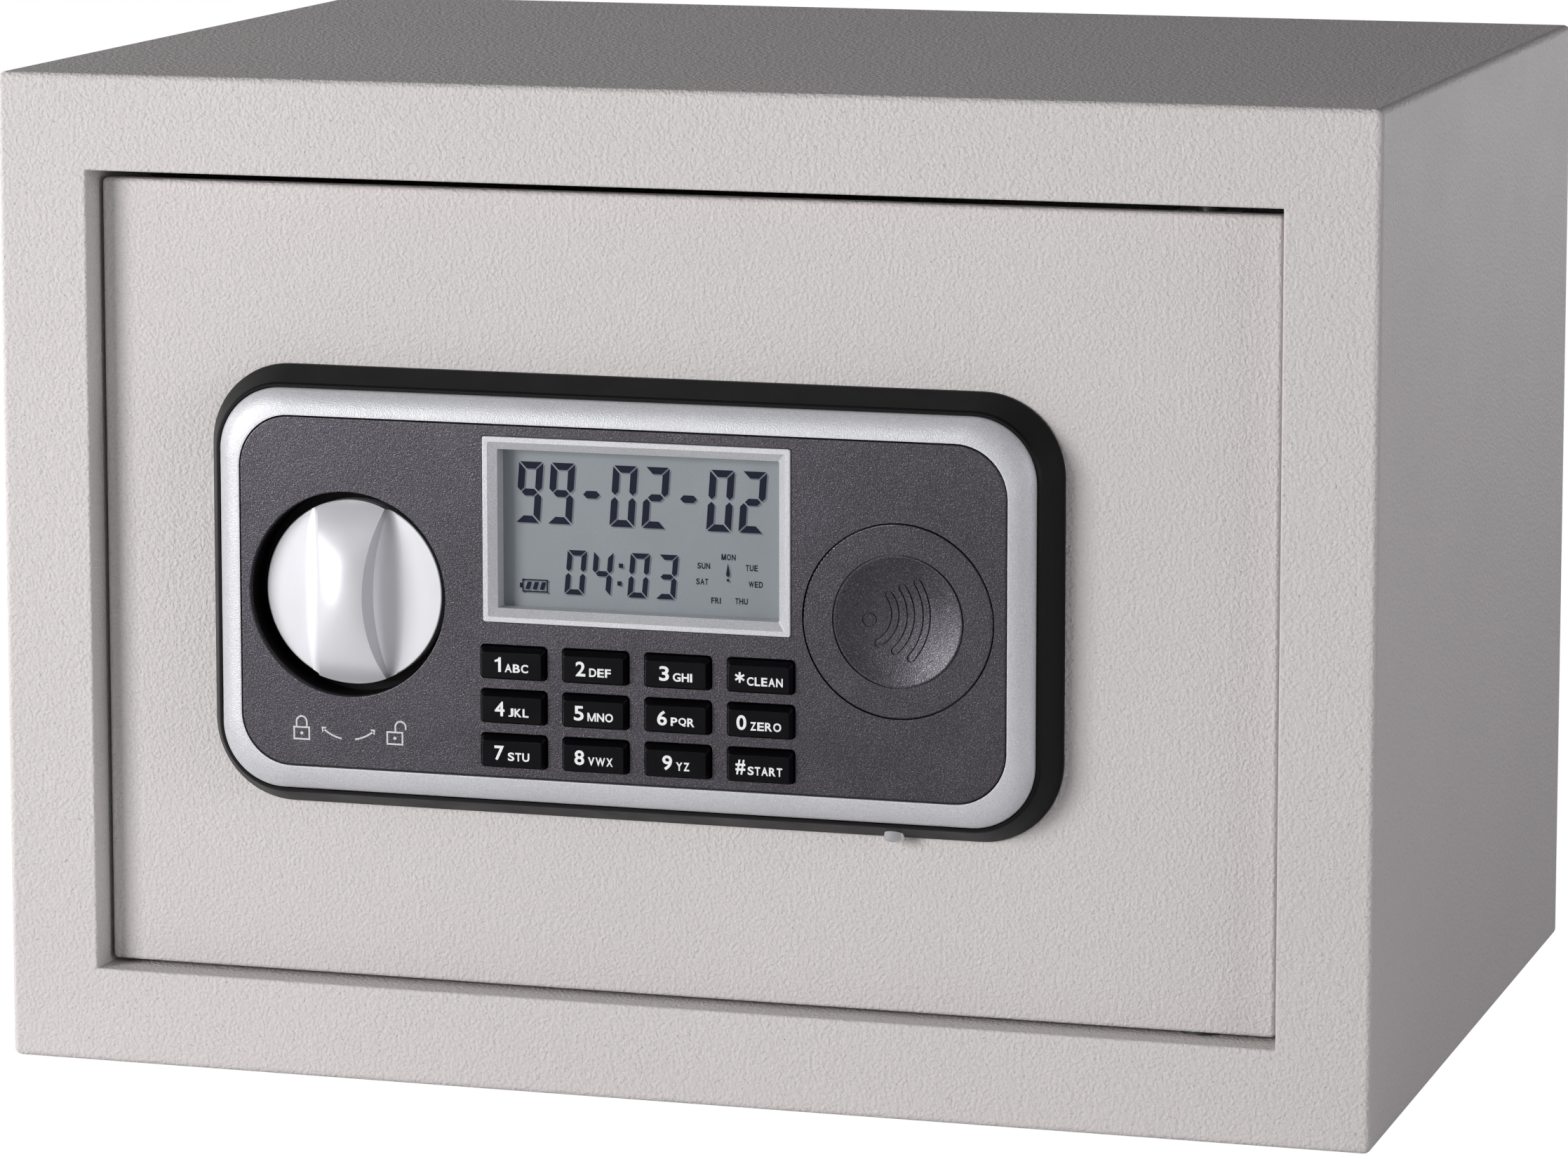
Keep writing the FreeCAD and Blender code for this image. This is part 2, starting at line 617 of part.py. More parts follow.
def make_bolt_work():
    bolt_x0 = door_x0 + 1.5
    bolt_x1 = bolt_x0 + bolt_len
    lap_x0 = bolt_x1 - 20
    for name, side in (("bolt_lower", -1), ("bolt_upper", 1)):
        z = knob_z + side * bolt_offset
        bolt = rod_x(bolt_y, z, bolt_d, bolt_x0, bolt_x1)
        tip = [e for e in bolt.Edges if e.BoundBox.XMax < bolt_x0 + 0.01]
        bolt = bolt.makeFillet(1.2, tip)
        bolt = bolt.cut(box(lap_x0, bolt_x1 + 1, carriage_y, carriage_back + 20,
                            z - bolt_d, z + bolt_d))
        bolt = bolt.cut(rod_y(lap_x0 + 10, z, 5, bolt_y - 5, carriage_back))
        save(name, bolt)

    half = bolt_offset + bolt_d / 2 + 2
    tail_x1 = bolt_x1 + 73
    tail_top = knob_z + 8.4
    carriage = box(lap_x0, bolt_x1 + 35, carriage_y, carriage_back, knob_z - half, knob_z + half)
    corners = [e for e in carriage.Edges if e.BoundBox.YLength > carriage_t - 0.01]
    carriage = carriage.makeFillet(4.0, corners)
    carriage = carriage.fuse(box(bolt_x1 + 20, tail_x1, carriage_y, carriage_back,
                                 knob_z - 8.6, tail_top))
    lo, hi = carriage_y - 1, carriage_back + 1
    pin_room = crank_pin_d + 1.2
    carriage = carriage.cut(slot_z(crank_pin_x, crank_pin_z - 0.6, knob_z + crank_r + 0.6,
                                   pin_room, lo, hi))
    stud_x = bolt_x1
    for dz in (-26.5, 26.5):
        carriage = carriage.cut(slot_x(stud_x, stud_x + stroke, knob_z + dz,
                                       stud_d + 0.2, lo, hi))
    plunger_x = bolt_x1 + 50
    for x in (plunger_x, plunger_x + stroke):
        carriage = carriage.cut(box(x - plunger_d / 2 - 0.5, x + plunger_d / 2 + 0.5, lo, hi,
                                    tail_top - 5, tail_top + 1))
    for side in (-1, 1):
        carriage = carriage.cut(rod_y(lap_x0 + 10, knob_z + side * bolt_offset, 5, lo, hi))
    save("bolt_carriage", carriage.removeSplitter())

    screws = []
    for side in (-1, 1):
        z = knob_z + side * bolt_offset
        screws.append(pan_screw(lap_x0 + 10, z, 5, bolt_y - 5, carriage_back, carriage_back, 1))
    save("carriage_screws", screws)

    studs = []
    for dz in (-26.5, 26.5):
        z = knob_z + dz
        stud = rod_y(stud_x, z, stud_d + 4, door_back, carriage_y - 0.3)
        stud = stud.fuse(rod_y(stud_x, z, stud_d, carriage_y - 0.3, carriage_back + 0.3))
        stud = stud.fuse(rod_y(stud_x, z, stud_d + 4, carriage_back + 0.3, carriage_back + 2.5))
        studs.append(stud.removeSplitter())
    save("guide_studs", studs)

    guide_x0 = door_x0 + 9.5
    guide = box(guide_x0, guide_x0 + 4, door_back, cover_inner,
                cover_z0 + 1.2, cover_z1 - 1.2)
    foot_half = bolt_offset - bolt_d / 2 - 3
    guide = guide.fuse(box(guide_x0 + 4, guide_x0 + 15, door_back, door_back + 2,
                           knob_z - foot_half, knob_z + foot_half))
    for side in (-1, 1):
        z = knob_z + side * bolt_offset
        guide = guide.cut(rod_x(bolt_y, z, bolt_d + 2 * bolt_play, guide_x0 - 1, guide_x0 + 5))
    save("bolt_guide", guide.removeSplitter())

    body_z0 = tail_top + 7
    x0, x1 = plunger_x - 8, plunger_x + 8
    plunger_y = carriage_y + carriage_t / 2
    coil = box(x0, x1, plunger_y - 8, plunger_y + 8, body_z0, body_z0 + 24)
    bore = rod_z(plunger_x, plunger_y, plunger_d + 2 * turn_play, body_z0 - 1, body_z0 + 21)
    save("solenoid_body", coil.cut(bore))

    bracket = box(x0 - 2, x1 + 2, door_back, door_back + 2, body_z0, body_z0 + 24)
    for wall in (x0 - 2, x1):
        bracket = bracket.fuse(box(wall, wall + 2, door_back + 2, plunger_y + 8,
                                   body_z0, body_z0 + 24))
    save("solenoid_bracket", bracket.removeSplitter())

    plunger = rod_z(plunger_x, plunger_y, plunger_d, tail_top + 1, body_z0 + 16)
    tip = [e for e in plunger.Edges if e.BoundBox.ZMax < tail_top + 1.01]
    save("solenoid_plunger", plunger.makeFillet(0.6, tip))


def cover_post_spots():
    x_left = door_x0 + 25.5
    return [(x, z) for x in (x_left, cover_x1 - 8) for z in (cover_z0 + 8, cover_z1 - 8)]


def make_cover():
    cover = box(door_x0 + 9.5, cover_x1, door_back, cover_outer, cover_z0, cover_z1)
    cover = cover.cut(box(door_x0 + 8, cover_x1 - 1.2, door_back - 1, cover_inner,
                          cover_z0 + 1.2, cover_z1 - 1.2))
    edges = [e for e in cover.Edges if e.BoundBox.YMin > cover_outer - 0.01
             and e.BoundBox.XMax > door_x0 + 10]
    cover = cover.makeFillet(1.0, edges)
    for x, z in cover_post_spots():
        cover = cover.cut(rod_y(x, z, 4.2, cover_inner - 1, cover_outer + 1))
    cover = cover.cut(box(tray_x0, tray_x1, cover_inner - 1, cover_outer + 1, tray_z0, tray_z1))
    cover = cover.cut(rod_y(reset_x, reset_z, 6.0, cover_inner - 1, cover_outer + 1))
    save("lock_cover", cover)

    posts, screws = [], []
    for x, z in cover_post_spots():
        post = rod_y(x, z, 8, door_back, cover_inner)
        posts.append(post.cut(rod_y(x, z, 4, cover_inner - 12, cover_inner + 1)))
        screws.append(pan_screw(x, z, 4, cover_inner - 12, cover_outer, cover_outer, 1))
    save("cover_posts", posts)
    save("cover_screws", screws)

    screws = []
    for x, z in panel_screw_spots():
        screws.append(pan_screw(x, z, 4, face_back + 2, door_back, door_back, 1))
    save("panel_screws", screws)

    switch = box(reset_x - 5, reset_x + 5, cover_inner - 9, cover_inner,
                 reset_z - 5, reset_z + 5)
    switch = switch.cut(rod_y(reset_x, reset_z, 5.1, cover_inner - 7, cover_inner + 1))
    save("reset_switch", switch)
    button = rod_y(reset_x, reset_z, 5.0, cover_inner - 5, cover_outer + 1.6)
    save("reset_button", button.makeFillet(0.5, [e for e in button.Edges
                                                 if e.BoundBox.YMin > cover_outer + 1.5]))

    x, y, z = bezel_screw_x, bezel_screw_y, bezel_screw_z
    head = rod_z(x, y, bezel_screw_d, z - 1.5, z + 2.2)
    rim = [e for e in head.Edges if e.BoundBox.ZMax < z - 1.49]
    head = head.makeFillet(1.1, rim)
    head = head.fuse(rod_z(x, y, 3.0, z + 2.2, z + 8))
    save("bezel_screw", head.removeSplitter())


def make_battery_bay():
    floor_y = cell_y - cell_d / 2 - 0.2
    wall = 2.5
    end_wall = 2.5
    top = cover_outer + 3.5
    tray = box(tray_x0, tray_x1, floor_y - 2, top, tray_z0, tray_z1)
    tray = tray.cut(box(tray_x0 + wall, tray_x1 - wall, floor_y, top + 1,
                        tray_z0 + end_wall, tray_z1 - end_wall))
    lid_y0 = cover_outer + 0.6
    lid_y1 = lid_y0 + 2.0
    groove = box(tray_x0 + wall - 1.2, tray_x1 - wall + 1.2, lid_y0 - 0.1, lid_y1 + 0.1,
                 tray_z0 - 1, tray_z1 - end_wall)
    tray = tray.cut(groove)
    tray = tray.cut(box(tray_x0 + wall - 1.2, tray_x1 - wall + 1.2, lid_y0 - 0.1, top + 1,
                        tray_z0 - 1, tray_z0 + end_wall))
    save("battery_tray", tray)

    lid = box(tray_x0 + wall - 1.1, tray_x1 - wall + 1.1, lid_y0, lid_y1,
              tray_z0 + 0.1, tray_z1 - end_wall - 0.2)
    for n in range(5):
        z = tray_z0 + 8 + n * 3
        lid = lid.fuse(box(tray_x0 + 20, tray_x1 - 20, lid_y1, lid_y1 + 0.8, z, z + 1.2))
    save("battery_lid", lid.removeSplitter())

    low_z = tray_z0 + end_wall
    high_z = tray_z1 - end_wall
    contacts = []
    for n in range(cell_count):
        x = bay_x + (n - (cell_count - 1) / 2) * cell_pitch
        upright = n % 2 == 0
        z0 = cell_z0
        body = rod_z(x, cell_y, cell_d, z0, z0 + cell_len)
        rims = [e for e in body.Edges if e.BoundBox.ZLength < 0.01]
        body = body.makeFillet(0.6, rims)
        nub_z = z0 + cell_len if upright else z0 - 1.3
        body = body.fuse(rod_z(x, cell_y, 5.4, nub_z, nub_z + 1.3))
        save("battery_" + str(n + 1), body.removeSplitter())
        flat_z = high_z - 0.8 if upright else low_z
        flat = box(x - 5, x + 5, cell_y - 5, cell_y + 5, flat_z, flat_z + 0.8)
        spring_base = low_z if upright else high_z
        reach = (z0 - low_z) if upright else (high_z - z0 - cell_len)
        axis = Vector(0, 0, 1 if upright else -1)
        coil = Part.makeCone(4.6, 2.2, reach, Vector(x, cell_y, spring_base), axis)
        contacts += [flat, coil]
    save("battery_contacts", contacts)


# Inner cover, battery bay and reset switch, tied to the knob's centre
knob_rim = face_front + knob_rim_depth
cover_z0 = knob_z - 77.6
cover_z1 = knob_z + 78.4
cover_x1 = knob_x + 167.0
bay_x = knob_x + 112.8
tray_half_x = cell_count * cell_pitch / 2 + 3.5
tray_x0 = bay_x - tray_half_x
tray_x1 = bay_x + tray_half_x
tray_half_z = cell_len / 2 + 8.9
tray_z0 = knob_z - tray_half_z
tray_z1 = knob_z + tray_half_z
cell_y = cover_outer - cell_d / 2 - 0.6
cell_z0 = knob_z - cell_len / 2
reset_x = knob_x + 56.8
reset_z = knob_z - 48.6

make_cabinet()
make_hinges()
make_door()
make_bezel()
make_ring()
make_face()
make_display()
make_boards()
make_keys()
make_badge()
make_knob()
make_bolt_work()
make_cover()
make_battery_bay()
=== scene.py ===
import json
from math import cos, pi, radians, sin

import bmesh
import bpy
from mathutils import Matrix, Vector


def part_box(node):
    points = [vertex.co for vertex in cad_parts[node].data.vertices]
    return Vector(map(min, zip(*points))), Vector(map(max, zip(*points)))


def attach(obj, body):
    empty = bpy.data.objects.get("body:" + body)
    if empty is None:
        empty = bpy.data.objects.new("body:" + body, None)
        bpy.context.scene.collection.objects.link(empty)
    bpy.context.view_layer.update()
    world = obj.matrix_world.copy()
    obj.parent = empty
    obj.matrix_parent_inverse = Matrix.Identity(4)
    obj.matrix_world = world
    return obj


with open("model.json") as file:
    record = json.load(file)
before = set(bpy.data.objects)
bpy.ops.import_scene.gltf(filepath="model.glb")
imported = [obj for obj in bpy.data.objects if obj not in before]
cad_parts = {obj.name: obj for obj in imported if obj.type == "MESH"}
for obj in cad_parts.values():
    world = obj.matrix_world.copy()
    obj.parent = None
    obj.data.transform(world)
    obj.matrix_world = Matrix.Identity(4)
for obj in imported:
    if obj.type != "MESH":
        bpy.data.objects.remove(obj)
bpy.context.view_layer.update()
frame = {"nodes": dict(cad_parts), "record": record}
nodes = frame["nodes"]

# The CAD's own layout, in millimetres from the front face's lower middle
HALF_DEPTH = 125.0
FACE = -4.2              # front of the dark face plate
KEY_FACE = -6.2          # front of a key
LCD_FACE = 1.5           # front of the display panel

# Cosine between the rounded and the true normal where an edge's lighter tint, a painted
# highlight (on the plastics also wear), starts and is full
EDGE_START, EDGE_FULL = 0.98, 0.75


def at(x, y, z):
    """Point in metres in the frame, from a place in the layout above."""
    return Vector((x, y - HALF_DEPTH, z)) / 1000


def middle_mm(low, high):
    """Middle, in millimetres, of a span given in metres."""
    return (low + high) * 500


# ---------------------------------------------------------------- materials

class Graph:
    """A material's node tree with short calls for the nodes used here."""

    def __init__(self, name):
        self.mat = bpy.data.materials.new(name)
        self.mat.use_nodes = True
        self.tree = self.mat.node_tree
        self.tree.nodes.clear()
        self.coord = self.tree.nodes.new("ShaderNodeTexCoord").outputs["Object"]

    def link(self, value, socket):
        if isinstance(value, bpy.types.NodeSocket):
            self.tree.links.new(value, socket)
        else:
            socket.default_value = value

    def node(self, kind, **inputs):
        n = self.tree.nodes.new(kind)
        for key, value in inputs.items():
            self.link(value, n.inputs[key.replace("_", " ")])
        return n

    def noise(self, scale, detail, rough=0.5, stretch=None):
        """Noise from 0 to 1; stretch scales the three axes apart."""
        vector = self.coord
        if stretch:
            mapping = self.node("ShaderNodeMapping", Vector=vector)
            mapping.inputs["Scale"].default_value = stretch
            vector = mapping.outputs[0]
        n = self.node("ShaderNodeTexNoise", Vector=vector, Scale=scale, Detail=detail)
        n.inputs["Roughness"].default_value = rough
        return n.outputs["Fac"]

    def spread(self, value, low, high, to_low, to_high):
        """Maps low..high to to_low..to_high and holds the ends."""
        n = self.node("ShaderNodeMapRange", Value=value)
        n.inputs["From Min"].default_value = low
        n.inputs["From Max"].default_value = high
        n.inputs["To Min"].default_value = to_low
        n.inputs["To Max"].default_value = to_high
        return n.outputs[0]

    def mix(self, factor, a, b):
        n = self.tree.nodes.new("ShaderNodeMix")
        n.data_type = "RGBA"
        self.link(factor, n.inputs[0])
        self.link(a, n.inputs[6])
        self.link(b, n.inputs[7])
        return n.outputs[2]

    def edges(self, width):
        """1 on sharp edges, 0 on open surfaces."""
        bevel = self.tree.nodes.new("ShaderNodeBevel")
        bevel.samples = 4
        bevel.inputs["Radius"].default_value = width
        plain = self.tree.nodes.new("ShaderNodeNewGeometry").outputs["Normal"]
        dot = self.tree.nodes.new("ShaderNodeVectorMath")
        dot.operation = "DOT_PRODUCT"
        self.tree.links.new(bevel.outputs[0], dot.inputs[0])
        self.tree.links.new(plain, dot.inputs[1])
        return self.spread(dot.outputs["Value"], EDGE_START, EDGE_FULL, 0.0, 1.0)

    def bump(self, height, distance, strength, below=None):
        """Normal with a bump of distance metres, added to the normal below."""
        n = self.node("ShaderNodeBump", Height=height)
        n.inputs["Distance"].default_value = distance
        n.inputs["Strength"].default_value = strength
        if below is not None:
            self.tree.links.new(below, n.inputs["Normal"])
        return n.outputs[0]

    def finish(self, color, rough, normal, metallic=0.0, coat=0.0, coat_rough=0.1,
               ior=1.5):
        shader = self.tree.nodes.new("ShaderNodeBsdfPrincipled")
        self.link(color, shader.inputs["Base Color"])
        self.link(rough, shader.inputs["Roughness"])
        shader.inputs["Metallic"].default_value = metallic
        shader.inputs["Coat Weight"].default_value = coat
        shader.inputs["Coat Roughness"].default_value = coat_rough
        shader.inputs["IOR"].default_value = ior
        self.tree.links.new(normal, shader.inputs["Normal"])
        out = self.tree.nodes.new("ShaderNodeOutputMaterial")
        self.tree.links.new(shader.outputs[0], out.inputs["Surface"])
        return self.mat


def rgb(r, g, b):
    return (r, g, b, 1.0)


def shade(color, factor):
    return rgb(*(min(c * factor, 1.0) for c in color[:3]))


def powder_coat(name, color):
    """Light grey powder coat: orange peel, faint clouding and a few tiny specks."""
    rough = 0.6
    g = Graph(name)
    cloud = g.spread(g.noise(12, 3), 0.35, 0.65, 0.0, 1.0)
    base = g.mix(cloud, shade(color, 0.975), shade(color, 1.02))
    grain = g.spread(g.noise(1900, 2), 0.38, 0.62, 0.0, 1.0)
    base = g.mix(grain, shade(color, 0.955), base)
    specks = g.spread(g.noise(1300, 1, 0.4), 0.735, 0.76, 0.0, 0.5)
    base = g.mix(specks, base, shade(color, 0.4))
    # Painted highlight: edges up to a fifth of the way to 10% lighter, as where the rounded
    # edges catch the light
    base = g.mix(g.spread(g.edges(0.0009), 0.0, 1.0, 0.0, 0.2), base, shade(color, 1.1))
    peel = g.bump(g.noise(1050, 2, 0.5), 0.0006, 0.85)
    fine = g.bump(g.noise(2300, 1), 0.0001, 0.7, peel)
    rougher = g.spread(g.noise(60, 2), 0.3, 0.7, rough - 0.015, rough + 0.02)
    return g.finish(base, rougher, fine)


def moulded(name, color, rough, metallic=0.0, grain=1600, grain_height=0.00002,
            sparkle=0.0, wear_and_edge_highlight=0.2, vary=0.06, coat=0.0, ior=1.5):
    """Moulded or painted plastic with a fine surface grain."""
    g = Graph(name)
    cloud = g.spread(g.noise(30, 3), 0.35, 0.65, 0.0, 1.0)
    base = g.mix(cloud, shade(color, 1 - vary), shade(color, 1 + vary))
    if sparkle:
        flakes = g.spread(g.noise(3500, 1, 0.4), 0.55, 0.70, 0.0, sparkle)
        base = g.mix(flakes, base, shade(color, 2.8))
        dark = g.spread(g.noise(2700, 1, 0.4), 0.30, 0.48, sparkle, 0.0)
        base = g.mix(dark, base, shade(color, 0.6))
    # Edges tinted lighter, partly wear and partly a painted highlight where rounded edges would
    # catch the light
    if wear_and_edge_highlight:
        base = g.mix(g.spread(g.edges(0.0003), 0.0, 1.0, 0.0, wear_and_edge_highlight), base,
                     shade(color, 1.9))
    skin = g.bump(g.noise(grain, 2), grain_height, 1.0)
    rougher = g.spread(g.noise(85, 3), 0.3, 0.7, max(rough - 0.05, 0.02), rough + 0.05)
    return g.finish(base, rougher, skin, metallic=metallic, coat=coat, coat_rough=0.15,
                    ior=ior)


def machined(name, color, rough, stretch=(1, 1, 1), metallic=1.0):
    """Bare or plated metal with fine directional marks and soft stains."""
    g = Graph(name)
    stain = g.spread(g.noise(45, 4), 0.3, 0.7, 0.0, 1.0)
    base = g.mix(stain, shade(color, 0.86), color)
    # Painted highlight: edges up to 40% of the way to 25% lighter, as where they catch the light
    base = g.mix(g.spread(g.edges(0.0004), 0.0, 1.0, 0.0, 0.4), base, shade(color, 1.25))
    lines = g.noise(900, 3, 0.6, stretch)
    rougher = g.spread(lines, 0.3, 0.7, rough * 0.75, rough * 1.35)
    return g.finish(base, rougher, g.bump(lines, 0.00001, 0.8), metallic=metallic)


def felt(name, color):
    """Matted fibres with darker patches."""
    g = Graph(name)
    fibres = g.noise(1800, 4, 0.7)
    base = g.mix(g.spread(fibres, 0.35, 0.65, 0.0, 1.0), shade(color, 0.55),
                 shade(color, 1.8))
    base = g.mix(g.spread(g.noise(22, 3), 0.4, 0.6, 0.0, 0.35), base, shade(color, 0.6))
    return g.finish(base, 0.95, g.bump(fibres, 0.0004, 0.9))


def ink(name, color, ior=1.5):
    """Thin printed layer, nearly flat."""
    rough = 0.5
    g = Graph(name)
    cloud = g.spread(g.noise(900, 2), 0.35, 0.65, 0.0, 1.0)
    base = g.mix(cloud, shade(color, 0.93), color)
    return g.finish(base, g.spread(g.noise(500, 2), 0.3, 0.7, rough - 0.05, rough + 0.08),
                    g.bump(g.noise(3000, 2), 0.000004, 0.6), ior=ior)


def display_glass(name, color):
    """Reflective display: faint mottling and a thin clear layer on top."""
    g = Graph(name)
    mottle = g.spread(g.noise(38, 3), 0.35, 0.65, 0.0, 1.0)
    base = g.mix(mottle, shade(color, 0.95), shade(color, 1.04))
    grain = g.spread(g.noise(4200, 1), 0.35, 0.65, 0.0, 1.0)
    base = g.mix(grain, shade(color, 0.94), base)
    return g.finish(base, g.spread(g.noise(120, 2), 0.3, 0.7, 0.34, 0.44),
                    g.bump(g.noise(1500, 1), 0.000003, 0.5), coat=0.35, coat_rough=0.12)


def board(name, color):
    """Circuit board with faint angular tracks under a lacquer."""
    g = Graph(name)
    tracks = g.node("ShaderNodeTexVoronoi", Vector=g.coord, Scale=260.0)
    tracks.distance = "MANHATTAN"
    lines = g.spread(tracks.outputs["Distance"], 0.42, 0.5, 0.0, 0.6)
    base = g.mix(lines, color, shade(color, 1.9))
    return g.finish(base, g.spread(g.noise(200, 2), 0.3, 0.7, 0.3, 0.45),
                    g.bump(lines, 0.00003, 0.6), coat=0.2)


def winding(name, color):
    """Fine wire wound round the Y axis."""
    g = Graph(name)
    wire = g.node("ShaderNodeTexWave", Vector=g.coord, Scale=900.0)
    wire.wave_type = "RINGS"
    wire.rings_direction = "Y"
    base = g.mix(wire.outputs["Fac"], shade(color, 0.6), color)
    return g.finish(base, g.spread(g.noise(200, 2), 0.3, 0.7, 0.28, 0.4),
                    g.bump(wire.outputs["Fac"], 0.00006, 0.8), metallic=0.9)


COAT = rgb(0.640, 0.603, 0.596)
mats = {
    "grey_powder_coat": powder_coat("powder_coat", COAT),
    "black_bezel_plastic": moulded("bezel_black", rgb(0.0035, 0.0035, 0.004), 0.42,
                                   wear_and_edge_highlight=0.6, ior=1.24),
    "dark_metallic_plastic": moulded("face_metallic", rgb(0.069, 0.065, 0.075), 0.37,
                                     metallic=0.9, grain=3100, grain_height=0.00006,
                                     sparkle=0.85, wear_and_edge_highlight=0.5),
    "silver_plastic": moulded("silver_satin", rgb(0.58, 0.58, 0.61), 0.44, metallic=0.25,
                              grain=3000, grain_height=0.00008, sparkle=0.3, wear_and_edge_highlight=0.15,
                              vary=0.03),
    "silver_knob": moulded("knob_silver", rgb(0.775, 0.775, 0.81), 0.40, metallic=0.3,
                           grain=2800, grain_height=0.000006, wear_and_edge_highlight=0.1, vary=0.02),
    "black_key_plastic": moulded("key_black", rgb(0.002, 0.002, 0.003), 0.27, wear_and_edge_highlight=0.8,
                                 grain=2600, grain_height=0.000008, ior=1.22),
    "display_panel": display_glass("display_glass", rgb(0.235, 0.264, 0.282)),
    "silicone": moulded("silicone", rgb(0.30, 0.30, 0.31), 0.6),
    "circuit_board": board("circuit_board", rgb(0.02, 0.12, 0.045)),
    "copper_winding": winding("winding", rgb(0.62, 0.28, 0.13)),
    "felt": felt("felt", rgb(0.035, 0.036, 0.04)),
    "zinc_plated_steel": machined("zinc_plate", rgb(0.56, 0.565, 0.56), 0.36,
                                  (1, 1, 0.12)),
    "blackened_steel": machined("blackened_steel", rgb(0.05, 0.05, 0.052), 0.45,
                                metallic=0.6),
    "chromed_steel": machined("chrome", rgb(0.74, 0.74, 0.75), 0.14, (0.08, 1, 1)),
    "screw_steel": machined("screw_steel", rgb(0.33, 0.33, 0.34), 0.33),
    "brass_bushing": machined("brass", rgb(0.72, 0.50, 0.20), 0.28, (1, 0.1, 1)),
    "coil_casing": machined("coil_casing", rgb(0.50, 0.45, 0.28), 0.35, (1, 1, 0.1)),
    "black_bay_plastic": moulded("bay_black", rgb(0.022, 0.022, 0.023), 0.5, grain=900,
                                 grain_height=0.00005, wear_and_edge_highlight=0.3),
    "red_button_plastic": moulded("button_red", rgb(0.50, 0.03, 0.02), 0.3),
    "battery_sleeve": moulded("battery_sleeve", rgb(0.03, 0.07, 0.16), 0.25, metallic=0.5,
                              coat=0.5),
}
white_ink = ink("white_ink", rgb(0.86, 0.86, 0.87))
segment_ink = ink("segment_ink", rgb(0.011, 0.013, 0.030), 1.2)
shadow_ink = ink("shadow_ink", rgb(0.145, 0.165, 0.185), 1.3)
grey_ink = ink("grey_ink", rgb(0.62, 0.62, 0.64))

for entry in frame["record"]["subparts"]:
    cad = nodes[entry["node"]]
    cad.data.materials.clear()
    cad.data.materials.append(mats[entry["material_slot"]])


# ------------------------------------------------------------ mesh builders

def add_piece(name, mesh, material, body):
    """Adds a mesh as a named piece that rides on a body."""
    obj = bpy.data.objects.new(name, mesh)
    bpy.context.scene.collection.objects.link(obj)
    mesh.materials.clear()
    mesh.materials.append(material)
    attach(obj, body)
    return obj


def rectangle(x0, x1, z0, z1):
    return [(x0, z0), (x1, z0), (x1, z1), (x0, z1)]


def circle(cx, cz, r, count):
    return [(cx + r * cos(2 * pi * n / count), cz + r * sin(2 * pi * n / count))
            for n in range(count)]


def add_plate(bm, outline, y, thick):
    """Thin raised plate from (x, z) points, with its back at depth y."""
    area = sum(a[0] * b[1] - b[0] * a[1]
               for a, b in zip(outline, outline[1:] + outline[:1]))
    if area < 0:
        outline = outline[::-1]
    front = [bm.verts.new(at(x, y - thick, z)) for x, z in outline]
    back = [bm.verts.new(at(x, y, z)) for x, z in outline]
    bm.faces.new(front)
    bm.faces.new(back[::-1])
    for n in range(len(front)):
        m = (n + 1) % len(front)
        bm.faces.new((front[n], back[n], back[m], front[m]))


def plates(outlines, y, thick):
    """Mesh of several raised plates of one thickness."""
    bm = bmesh.new()
    for outline in outlines:
        add_plate(bm, outline, y, thick)
    mesh = bpy.data.meshes.new("plates")
    bm.to_mesh(mesh)
    bm.free()
    return mesh


def text_outline(words, bold):
    """Mesh of a word in the built-in font, one unit thick, before it is placed."""
    curve = bpy.data.curves.new("text", "FONT")
    curve.body = words
    curve.offset = bold
    curve.extrude = 0.5
    curve.resolution_u = 6
    holder = bpy.data.objects.new("text", curve)
    bpy.context.scene.collection.objects.link(holder)
    graph = bpy.context.evaluated_depsgraph_get()
    graph.update()
    mesh = bpy.data.meshes.new_from_object(holder.evaluated_get(graph))
    bpy.data.objects.remove(holder)
    bpy.data.curves.remove(curve)
    return mesh


def place_text(bm, words, x0, x1, z0, z1, y, thick, bold):
    """Adds a sign to bm so that it fills the box x0..x1, z0..z1 at depth y."""
    turned = words == "9"    # a nine is a six turned over
    mesh = text_outline("6" if turned else words, bold)
    xs = [v.co.x for v in mesh.vertices]
    ys = [v.co.y for v in mesh.vertices]
    for v in mesh.vertices:
        right = (v.co.x - min(xs)) / (max(xs) - min(xs))
        up = (v.co.y - min(ys)) / (max(ys) - min(ys))
        if turned:
            right, up = 1 - right, 1 - up
        v.co = at(x0 + right * (x1 - x0), y - (v.co.z + 0.5) * thick, z0 + up * (z1 - z0))
    bm.from_mesh(mesh)
    bpy.data.meshes.remove(mesh)


# Widths of the capitals relative to their height
WIDTHS = {"A": 1.0, "B": 1.0, "C": 1.0, "D": 1.0, "E": 0.92, "F": 0.85, "G": 1.08, "H": 1.0,
          "I": 0.39, "J": 0.77, "K": 1.0, "L": 0.85, "M": 1.16, "N": 1.0, "O": 1.08, "P": 0.92,
          "Q": 1.08, "R": 1.0, "S": 0.92, "T": 0.85, "U": 1.0, "V": 0.92, "W": 1.31, "X": 0.92,
          "Y": 0.92, "Z": 0.85}
# Gap on each side of a letter, and the strokes of an M, as shares of the letter's height
LETTER_GAP = 0.062
M_STROKE = 0.17
M_STEP = 0.04            # each stroke of an M is this much thicker than the one before


def letter_m(x, z, w, h, t):
    """Four strokes of width t that make an M in the box from (x, z), w wide and h high."""
    half = [rectangle(0, t, 0, h),
            [(0, h), (1.15 * t, h), (w / 2 + t / 2, 0), (w / 2 - t / 2, 0)]]
    other = [[(w - a, b) for a, b in stroke] for stroke in half]
    return [[(x + a, z + b) for a, b in stroke] for stroke in half + other]


def word_width(word, height, squeeze):
    """Width of a word of capitals; squeeze under 1 narrows it."""
    return sum(WIDTHS[letter] for letter in word) * height * squeeze


